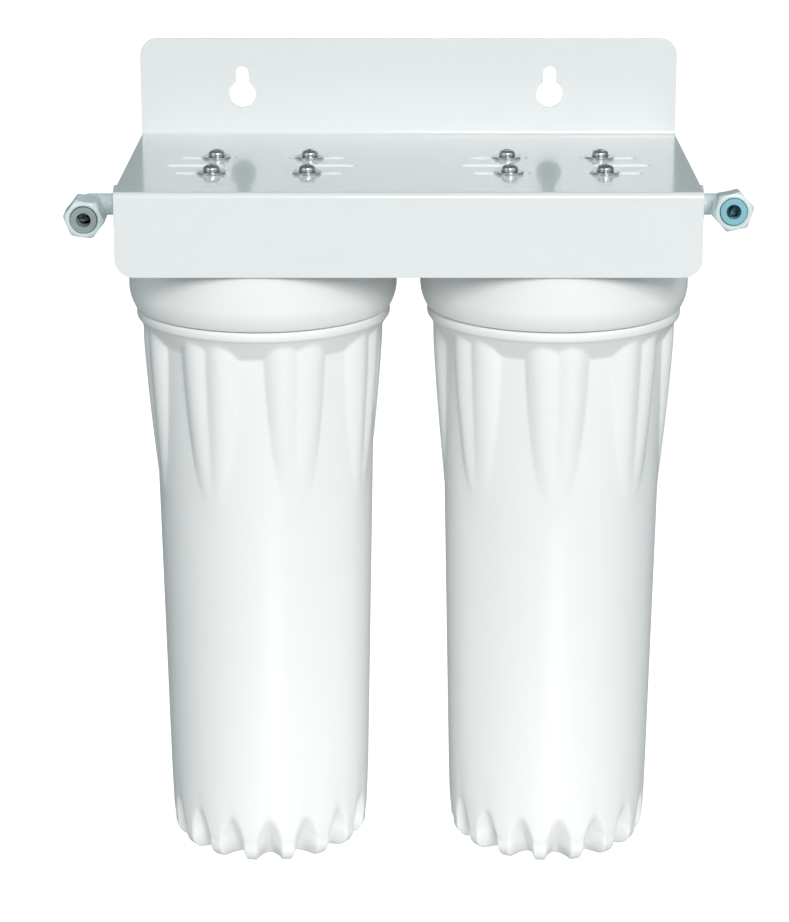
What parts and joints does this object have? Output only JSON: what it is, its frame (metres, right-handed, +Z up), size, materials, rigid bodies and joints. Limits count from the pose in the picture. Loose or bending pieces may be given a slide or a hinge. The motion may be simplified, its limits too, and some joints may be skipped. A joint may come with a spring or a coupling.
{
  "type": "two-stage water filter",
  "caption": "Wall-hung twin-housing water filter: folded steel bracket, screw-down sumps with cartridges inside, and an elbow with a tube nut at each end.",
  "frame": {"origin": "on the wall face of the back plate, midway between the two housings, level with the round part of the keyholes", "axes": "+X along the wall to the right seen from the front, +Y into the wall, +Z up"},
  "size_m": [0.3041, 0.1414, 0.3652],
  "materials": {
    "bracket_enamel": "gloss white powder coat",
    "head_plastic": "satin white moulding",
    "sump_plastic": "satin white moulding",
    "seal_rubber": "black rubber",
    "zinc_steel": "zinc-plated steel",
    "blown_fibre": "white melt-blown fibre",
    "core_plastic": "natural white moulding",
    "carbon": "sintered carbon block",
    "wrap_fabric": "white non-woven wrap",
    "net_plastic": "white extruded net",
    "cap_plastic": "white moulding",
    "fitting_plastic": "slightly milky white moulding",
    "ring_grey": "dark grey moulding",
    "ring_blue": "light blue moulding"
  },
  "bodies": {
    "mounting": {"bracket": "bracket_enamel", "left_head": "head_plastic", "right_head": "head_plastic", "left_head_screws": "zinc_steel", "right_head_screws": "zinc_steel", "left_head_washers": "zinc_steel", "right_head_washers": "zinc_steel", "inlet_elbow": "fitting_plastic", "outlet_elbow": "fitting_plastic", "inlet_port_seal": "seal_rubber", "outlet_port_seal": "seal_rubber", "link_nipple": "fitting_plastic", "link_seals": "seal_rubber"},
    "left_cartridge": {"sediment_element": "blown_fibre", "sediment_core": "core_plastic"},
    "left_sump": {"left_sump": "sump_plastic", "left_sump_oring": "seal_rubber"},
    "right_cartridge": {"carbon_block": "carbon", "carbon_wrap": "wrap_fabric", "carbon_net": "net_plastic", "carbon_foot_cap": "cap_plastic", "carbon_head_cap": "cap_plastic", "carbon_foot_gasket": "seal_rubber", "carbon_head_gasket": "seal_rubber"},
    "right_sump": {"right_sump": "sump_plastic", "right_sump_oring": "seal_rubber"},
    "inlet_ring": {"inlet_tube_ring": "ring_grey"},
    "inlet_nut": {"inlet_tube_nut": "fitting_plastic"},
    "outlet_ring": {"outlet_tube_ring": "ring_blue"},
    "outlet_nut": {"outlet_tube_nut": "fitting_plastic"}
  },
  "joints": [
    {"name": "left_sump_drop", "type": "slide", "parent": "mounting", "child": "left_cartridge", "axis": [0, 0, 1], "range_m": [-0.01351, 0]},
    {"name": "left_sump_turn", "type": "hinge", "parent": "left_cartridge", "child": "left_sump", "pos_m": [-0.0655, -0.0796, -0.0822], "axis": [0, 0, 1], "range_deg": [-1080, 0]},
    {"name": "right_sump_drop", "type": "slide", "parent": "mounting", "child": "right_cartridge", "axis": [0, 0, 1], "range_m": [-0.01351, 0]},
    {"name": "right_sump_turn", "type": "hinge", "parent": "right_cartridge", "child": "right_sump", "pos_m": [0.0655, -0.0796, -0.0822], "axis": [0, 0, 1], "range_deg": [-1080, 0]},
    {"name": "inlet_nut_travel", "type": "slide", "parent": "mounting", "child": "inlet_ring", "axis": [0, -0.9986, -0.0523], "range_m": [0, 0.00751]},
    {"name": "inlet_nut_turn", "type": "hinge", "parent": "inlet_ring", "child": "inlet_nut", "pos_m": [-0.1425, -0.0796, -0.0364], "axis": [0, -0.9986, -0.0523], "range_deg": [0, 1800]},
    {"name": "outlet_nut_travel", "type": "slide", "parent": "mounting", "child": "outlet_ring", "axis": [0, -0.9969, 0.0785], "range_m": [0, 0.00751]},
    {"name": "outlet_nut_turn", "type": "hinge", "parent": "outlet_ring", "child": "outlet_nut", "pos_m": [0.1425, -0.0796, -0.0364], "axis": [0, -0.9969, 0.0785], "range_deg": [0, 1800]}
  ],
  "couplings": [
    {"joint": "left_sump_drop", "follows": "left_sump_turn", "m_per_rad": 0.0007162},
    {"joint": "right_sump_drop", "follows": "right_sump_turn", "m_per_rad": 0.0007162},
    {"joint": "inlet_nut_travel", "follows": "inlet_nut_turn", "m_per_rad": 0.00023873},
    {"joint": "outlet_nut_travel", "follows": "outlet_nut_turn", "m_per_rad": 0.00023873}
  ]
}
